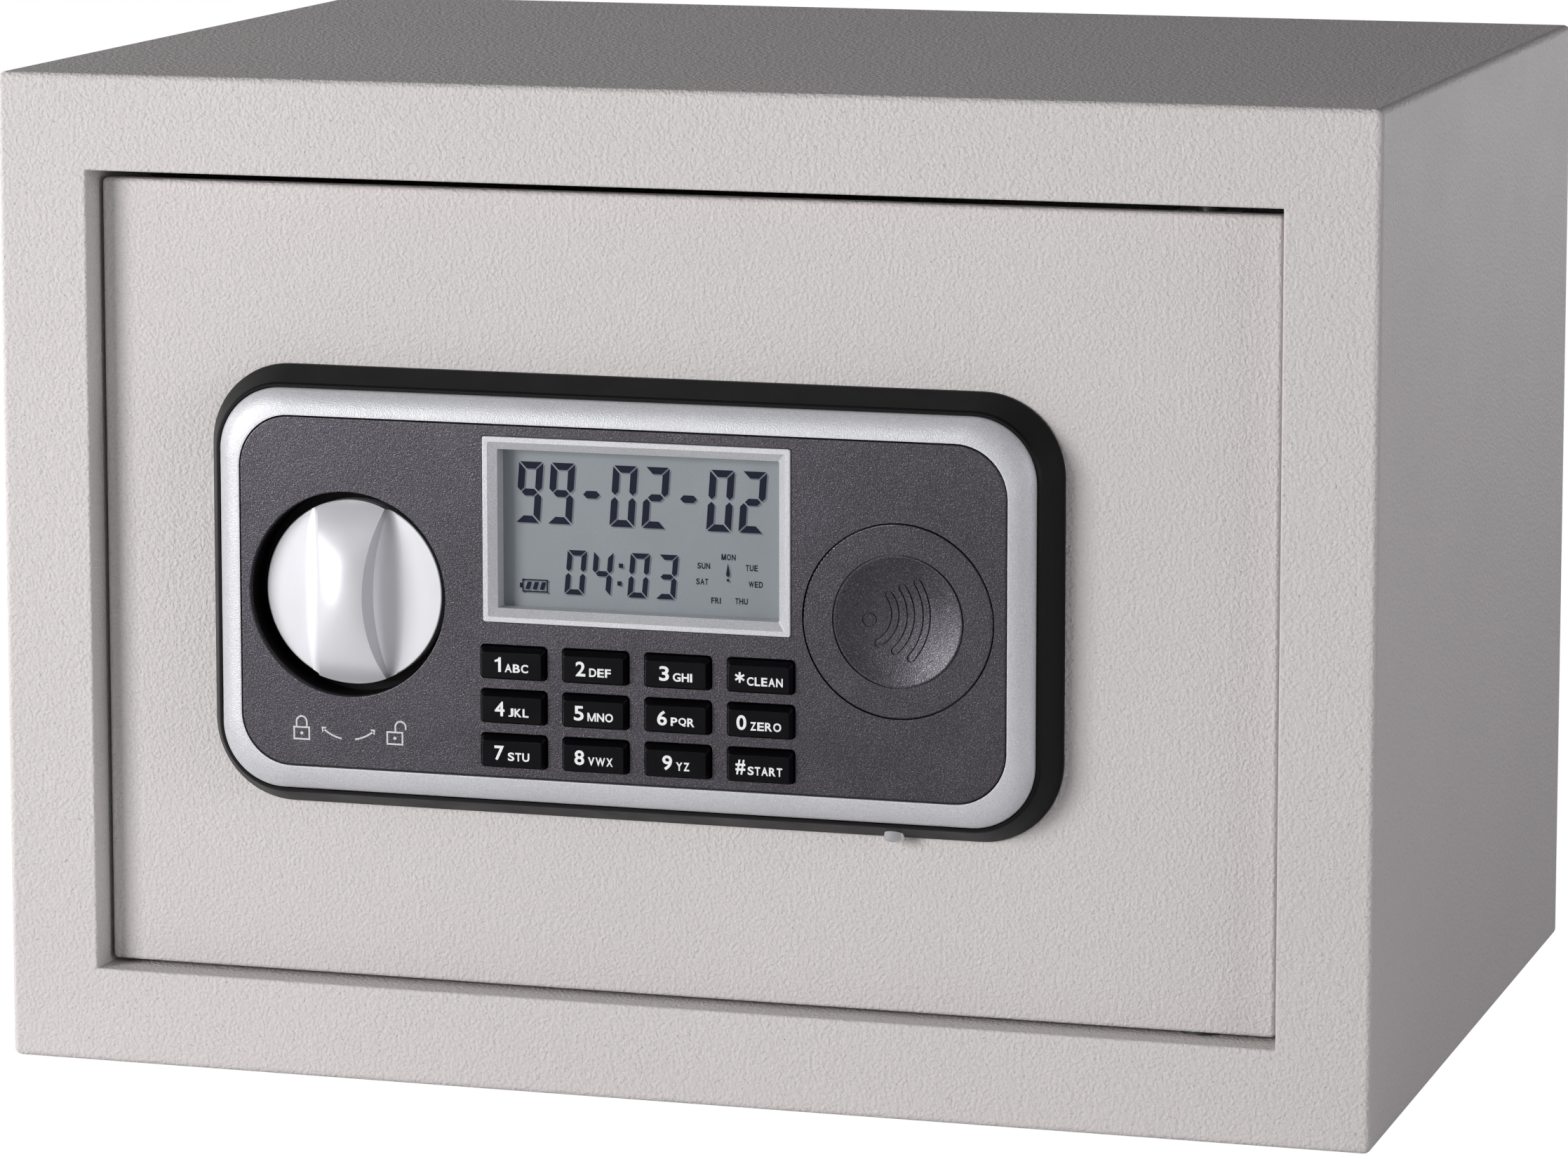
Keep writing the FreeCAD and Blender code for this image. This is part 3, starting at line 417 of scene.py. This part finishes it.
def place_word(bm, word, x, z, height, squeeze, y, thick, bold):
    """Adds capitals to bm from (x, z) to the right, spaced by WIDTHS."""
    side = LETTER_GAP * height
    for letter in word:
        cell = word_width(letter, height, squeeze)
        if letter == "M":
            strokes = letter_m(x + side, z, cell - 2 * side, height, M_STROKE * height)
            for n, stroke in enumerate(strokes):
                add_plate(bm, stroke, y, thick * (1 + M_STEP * n))
        else:
            place_text(bm, letter, x + side, x + cell - side, z, z + height, y, thick, bold)
        x += cell


# ------------------------------------------------------------------ display

DATE, DATE_X, DATE_Z = "990202", (-39.9, -31.7, -15.7, -7.5, 9.0, 17.2), 142.8
DASH_X, DASH_Z = (-22.4, 2.4), 150.4
TIME, TIME_X, TIME_Z = "0403", (-27.4, -20.6, -11.2, -4.0), 125.5
COLON = ((-12.75, 133.2), (-13.15, 128.8))
COLON_HALF = 0.55        # half the side of a dot
POINTER_X = 14.55        # tip down, with a dot below it
DAYS = (("MON", 14.7, 136.6), ("TUE", 20.6, 134.2), ("WED", 21.6, 130.2),
        ("THU", 18.0, 125.9), ("FRI", 11.5, 125.8), ("SAT", 8.0, 130.3),
        ("SUN", 8.4, 134.2))
DAY_HEIGHT, DAY_SQUEEZE, DAY_BOLD = 1.5, 0.78, 0.024
SEGMENT_THICK, SHADOW_THICK = 0.05, 0.02
SHADOW_X, SHADOW_Z = 0.42, -0.34    # how far a segment's shadow falls
SEGMENTS = {"0": "ABCDEF", "2": "ABGED", "3": "ABGCD", "4": "FGBC", "9": "AFGBCD"}


def digit(symbol, x, z, w, h, t, slant):
    """Seven-segment digit whose lower left corner is (x, z), leaning to the right."""
    gap = 0.16 * t
    m = h / 2
    upper = [(w, h - gap), (w, m + t / 2 + gap), (w - t / 2, m + gap),
             (w - t, m + t / 2 + gap), (w - t, h - t - gap)]
    top = [(gap, h), (w - gap, h), (w - t - gap, h - t), (t + gap, h - t)]
    bar = [(t / 2 + gap, m), (t + gap, m + t / 2), (w - t - gap, m + t / 2),
           (w - t / 2 - gap, m), (w - t - gap, m - t / 2), (t + gap, m - t / 2)]
    shapes = {
        "A": top,
        "B": upper,
        "C": [(a, h - b) for a, b in upper],
        "D": [(a, h - b) for a, b in top],
        "E": [(w - a, h - b) for a, b in upper],
        "F": [(w - a, b) for a, b in upper],
        "G": bar,
    }
    return [[(x + a + b * slant, z + b) for a, b in shapes[s]] for s in SEGMENTS[symbol]]


def build_display():
    """Date, time, battery sign and weekdays, each with a faint shadow but the last."""
    outlines = []
    for symbol, x in zip(DATE, DATE_X):
        outlines += digit(symbol, x, DATE_Z, 6.25, 15.1, 1.72, 0.072)
    for x in DASH_X:
        m = DASH_Z
        outlines.append([(x, m), (x + 0.9, m + 0.92), (x + 3.4, m + 0.92), (x + 4.3, m),
                         (x + 3.4, m - 0.92), (x + 0.9, m - 0.92)])
    for symbol, x in zip(TIME, TIME_X):
        outlines += digit(symbol, x, TIME_Z, 5.0, 11.0, 1.3, 0.09)
    for x, z in COLON:
        outlines.append(rectangle(x - COLON_HALF, x + COLON_HALF,
                                  z - COLON_HALF, z + COLON_HALF))
    # battery sign: case, end cap and three bars
    x0, x1, z0, z1, t = -38.2, -31.6, 125.6, 128.8, 0.32
    for sides in ((x0, x1, z0, z0 + t), (x0, x1, z1 - t, z1), (x0, x0 + t, z0, z1),
                  (x1 - t, x1, z0, z1), (x0 - 0.65, x0, 126.6, 127.8)):
        outlines.append(rectangle(*sides))
    for n in range(3):
        x = x0 + 0.75 + n * 1.85
        outlines.append([(x, 126.25), (x + 1.15, 126.25), (x + 1.75, 128.15), (x + 0.6, 128.15)])
    # day pointer
    outlines.append([(POINTER_X, 135.1), (14.2, 133.2), (14.05, 132.4), (14.3, 131.8),
                     (14.8, 131.8), (15.05, 132.4), (14.9, 133.2)])
    outlines.append(circle(POINTER_X, 130.95, 0.36, 16))
    shadows = [[(x + SHADOW_X, z + SHADOW_Z) for x, z in outline] for outline in outlines]
    add_piece("display_shadows", plates(shadows, LCD_FACE, SHADOW_THICK), shadow_ink, "door")
    mesh = plates(outlines, LCD_FACE, SEGMENT_THICK)
    bm = bmesh.new()
    bm.from_mesh(mesh)
    for word, x, z in DAYS:
        width = word_width(word, DAY_HEIGHT, DAY_SQUEEZE)
        place_word(bm, word, x - width / 2, z - DAY_HEIGHT / 2, DAY_HEIGHT, DAY_SQUEEZE,
                   LCD_FACE, SEGMENT_THICK, DAY_BOLD)
    bm.to_mesh(mesh)
    bm.free()
    add_piece("display_segments", mesh, segment_ink, "door")


# --------------------------------------------------------------------- keys

KEY_LABELS = {
    "1": ("1", "ABC"), "2": ("2", "DEF"), "3": ("3", "GHI"), "clean": ("*", "CLEAN"),
    "4": ("4", "JKL"), "5": ("5", "MNO"), "6": ("6", "PQR"), "0": ("0", "ZERO"),
    "7": ("7", "STU"), "8": ("8", "VWX"), "9": ("9", "YZ"), "start": ("#", "START"),
}
CAPITAL = 2.1            # height of a letter
NUMERAL = 3.65           # height of a digit
NUMERAL_WIDTH, ONE_WIDTH = 2.5, 1.62
LABEL_THICK = 0.04
NUMERAL_BOLD, CAPITAL_BOLD = 0.02, 0.026
LABEL_BASE = -2.15       # foot of a label from the key's middle
LABEL_SHIFT = 0.1        # and its middle to the right of the key's
LONG_WORD = 5            # words of this length are set closer
STAR_REACH, STAR_HALF = 1.3, 0.25
DIGIT_ONE = ((ONE_WIDTH, 0), (ONE_WIDTH, NUMERAL), (1.08, NUMERAL), (0.78, 3.2),
             (0, 2.9), (0, 2.42), (0.92, 2.62), (0.92, 0))


def star_bar(x, z, turn):
    """One of the three bars that cross at (x, z), a sixth of a half turn on each time."""
    a = radians(90 + 60 * turn)
    u = (cos(a) * STAR_REACH, sin(a) * STAR_REACH)
    v = (-sin(a) * STAR_HALF, cos(a) * STAR_HALF)
    return [(x + p * u[0] + q * v[0], z + p * u[1] + q * v[1])
            for p, q in ((-1, -1), (1, -1), (1, 1), (-1, 1))]


def build_labels():
    """A digit or sign and its letters on each key, as one piece that rides with the key."""
    for name, (symbol, word) in KEY_LABELS.items():
        low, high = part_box("key_" + name)
        cx = middle_mm(low.x, high.x)
        base = middle_mm(low.z, high.z) + LABEL_BASE
        long_word = len(word) == LONG_WORD
        squeeze = 0.93 if long_word else 1.0
        width = word_width(word, CAPITAL, squeeze)
        lead = ONE_WIDTH if symbol == "1" else NUMERAL_WIDTH
        gap = 0.45 if long_word else 0.85
        x = cx - (lead + gap + width) / 2 + LABEL_SHIFT
        bm = bmesh.new()
        if symbol == "*":
            for turn in range(3):
                bar = star_bar(x + lead / 2, base + 1.9, turn)
                add_plate(bm, bar, KEY_FACE, LABEL_THICK + 0.002 * turn)
        elif symbol == "1":
            add_plate(bm, [(x + a, base + b) for a, b in DIGIT_ONE], KEY_FACE, LABEL_THICK)
        else:
            place_text(bm, symbol, x, x + lead, base, base + NUMERAL, KEY_FACE, LABEL_THICK,
                       NUMERAL_BOLD)
        place_word(bm, word, x + lead + gap, base, CAPITAL, squeeze, KEY_FACE, LABEL_THICK,
                   CAPITAL_BOLD)
        mesh = bpy.data.meshes.new("label")
        bm.to_mesh(mesh)
        bm.free()
        add_piece("label_" + name, mesh, white_ink, "key_" + name)


# ---------------------------------------------------------- knob direction

LINE = 0.42              # width of every line of these signs
LOCK_FOOT = 86.6         # height of the padlocks' lower edges
ARROW_Z, ARROW_R = 97.5, 10.2   # centre height and radius of the arrows' arcs
ARROW_HEAD = (9.3, 11.1) # radii of an arrowhead's two back corners
SIGN_THICK = 0.03


def ring_arc(cx, cz, r, t, a0, a1, count=24):
    """Arc of radius r and line width t from angle a0 to a1, in count flat pieces."""
    def edge(radius):
        return [(cx + radius * cos(a0 + (a1 - a0) * n / count),
                 cz + radius * sin(a0 + (a1 - a0) * n / count)) for n in range(count + 1)]
    outer, inner = edge(r + t / 2), edge(r - t / 2)
    return [outer[n:n + 2] + inner[n:n + 2][::-1] for n in range(count)]


def padlock(x, z, open_shackle):
    """Outline padlock, 4.4 mm wide, with its lower left corner at (x, z)."""
    w, h, t = 4.4, 3.4, LINE
    shapes = []
    for a, b, c, d in ((0, w, 0, t), (0, w, h - t, h), (0, t, t, h - t), (w - t, w, t, h - t)):
        shapes.append(rectangle(x + a, x + b, z + c, z + d))
    lean = 1.5 if open_shackle else 0.0
    mid, r = x + w / 2 + lean, 1.35
    foot = z + h
    top = foot + 1.2     # where the shackle's legs end and its bow starts
    shapes += ring_arc(mid, top, r, t, 0, pi)
    shapes.append(rectangle(mid - r - t / 2, mid - r + t / 2, foot, top))
    right = foot + (0.55 if open_shackle else 0.0)
    shapes.append(rectangle(mid + r - t / 2, mid + r + t / 2, right, top))
    shapes.append(circle(x + w / 2, z + h / 2, 0.42, 12))
    return shapes


def build_knob_signs():
    """Two padlocks under the knob, and the arrows that point to them."""
    low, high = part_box("knob")
    cx = middle_mm(low.x, high.x)
    shapes = padlock(cx - 14.5, LOCK_FOOT, False)
    shapes += padlock(cx + 10.0, LOCK_FOOT, True)
    for side in (-1, 1):
        shapes += ring_arc(cx, ARROW_Z, ARROW_R, LINE, radians(-90 + side * 10),
                           radians(-90 + side * 40), 12)
        a = radians(-90 + side * 44)
        tip = (cx + ARROW_R * cos(a), ARROW_Z + ARROW_R * sin(a))
        b = radians(-90 + side * 38)
        foot = [(cx + r * cos(b), ARROW_Z + r * sin(b)) for r in ARROW_HEAD]
        shapes.append([tip, foot[0], foot[1]])
    mesh = plates(shapes, FACE, SIGN_THICK)
    add_piece("knob_direction_signs", mesh, grey_ink, "door")


build_display()
build_labels()
build_knob_signs()


# ------------------------------------------------------- floor, light, camera

FLOOR_HALF = 6.0         # half the floor's side, in metres
FLOOR_DROP = 0.0003      # keeps the floor clear of the safe's underside
# The floor's own light, and how much of it the camera sees
GLOW, GLOW_SHARE = 1.05, 0.95
WORLD_DIM = 0.12         # light that the surroundings give; the camera sees them white
# name, place, target, width, height, watts, colour; places in metres
LIGHTS = (
    ("key", (-1.7, -2.0, 0.60), (0, -0.1, 0.12), 1.0, 1.0, 53.5, (1, 1, 1)),
    ("fill", (2.4, -0.95, 0.30), (0.1, 0, 0.12), 1.2, 1.4, 21.0, (0.96, 0.95, 1.0)),
    ("skim_left", (-1.3, 0.0, 0.50), (0, 0, 0.22), 0.4, 0.3, 7.5, (1, 1, 1)),
    ("skim_right", (0.62, 1.9, 0.16), (0.17, 0, 0.1), 0.4, 0.4, 4.2, (1, 1, 1)),
    ("bounce", (-0.2, -1.0, 0.02), (0, -0.1, 0.35), 1.6, 0.5, 0.9, (1, 1, 1)),
)
# The photograph's camera, fitted to the safe's corners and lock unit: metres, degrees and
# millimetres, with the shift as a share of the picture's width
CAMERA_PLACE = (0.4790, -1.6159, 0.3951)
CAMERA_TURN = (81.804, 0.016, 16.786)
LENS, SENSOR, SHIFT_Y = 149.96, 36.0, -0.1011


def build_stage():
    """White floor and surroundings that light the safe less than they look."""
    bm = bmesh.new()
    bmesh.ops.create_grid(bm, x_segments=8, y_segments=8, size=FLOOR_HALF)
    mesh = bpy.data.meshes.new("floor")
    bm.to_mesh(mesh)
    bm.free()
    floor = bpy.data.objects.new("floor", mesh)
    floor.location.z = -FLOOR_DROP
    bpy.context.scene.collection.objects.link(floor)
    g = Graph("floor_paper")
    diffuse = g.node("ShaderNodeBsdfDiffuse")
    pale = g.mix(g.spread(g.noise(3, 2), 0.4, 0.6, 0.0, 1.0), rgb(0.86, 0.86, 0.86),
                 rgb(0.88, 0.88, 0.88))
    g.link(pale, diffuse.inputs["Color"])
    glow = g.node("ShaderNodeEmission", Color=rgb(1, 1, 1), Strength=GLOW)
    seen = g.tree.nodes.new("ShaderNodeLightPath").outputs["Is Camera Ray"]
    blend = g.tree.nodes.new("ShaderNodeMixShader")
    g.link(g.spread(seen, 0.0, 1.0, 0.0, GLOW_SHARE), blend.inputs[0])
    g.link(diffuse.outputs[0], blend.inputs[1])
    g.link(glow.outputs[0], blend.inputs[2])
    out = g.tree.nodes.new("ShaderNodeOutputMaterial")
    g.link(blend.outputs[0], out.inputs["Surface"])
    mesh.materials.append(g.mat)

    world = bpy.data.worlds.new("studio")
    bpy.context.scene.world = world
    world.use_nodes = True
    tree = world.node_tree
    tree.nodes.clear()
    dim = tree.nodes.new("ShaderNodeBackground")
    dim.inputs["Color"].default_value = rgb(0.95, 0.96, 1.0)
    dim.inputs["Strength"].default_value = WORLD_DIM
    white = tree.nodes.new("ShaderNodeBackground")
    white.inputs["Color"].default_value = rgb(1, 1, 1)
    white.inputs["Strength"].default_value = 1.0
    path = tree.nodes.new("ShaderNodeLightPath")
    blend = tree.nodes.new("ShaderNodeMixShader")
    tree.links.new(path.outputs["Is Camera Ray"], blend.inputs[0])
    tree.links.new(dim.outputs[0], blend.inputs[1])
    tree.links.new(white.outputs[0], blend.inputs[2])
    out = tree.nodes.new("ShaderNodeOutputWorld")
    tree.links.new(blend.outputs[0], out.inputs["Surface"])


def area_light(name, place, target, size_x, size_y, power, color):
    """Rectangular lamp at place that faces target."""
    data = bpy.data.lights.new(name, "AREA")
    data.shape = "RECTANGLE"
    data.size = size_x
    data.size_y = size_y
    data.energy = power
    data.color = color
    lamp = bpy.data.objects.new(name, data)
    bpy.context.scene.collection.objects.link(lamp)
    lamp.location = place
    aim = Vector(target) - Vector(place)
    lamp.rotation_euler = aim.to_track_quat("-Z", "Y").to_euler()
    return lamp


def build_camera():
    data = bpy.data.cameras.new("camera")
    data.sensor_width = SENSOR
    data.lens = LENS
    data.shift_y = SHIFT_Y
    camera = bpy.data.objects.new("camera", data)
    bpy.context.scene.collection.objects.link(camera)
    camera.location = CAMERA_PLACE
    camera.rotation_euler = [radians(angle) for angle in CAMERA_TURN]
    bpy.context.scene.camera = camera


build_stage()
lamps = {row[0]: area_light(*row) for row in LIGHTS}
lamps["bounce"].visible_camera = False
build_camera()
bpy.context.scene.view_settings.view_transform = "Standard"
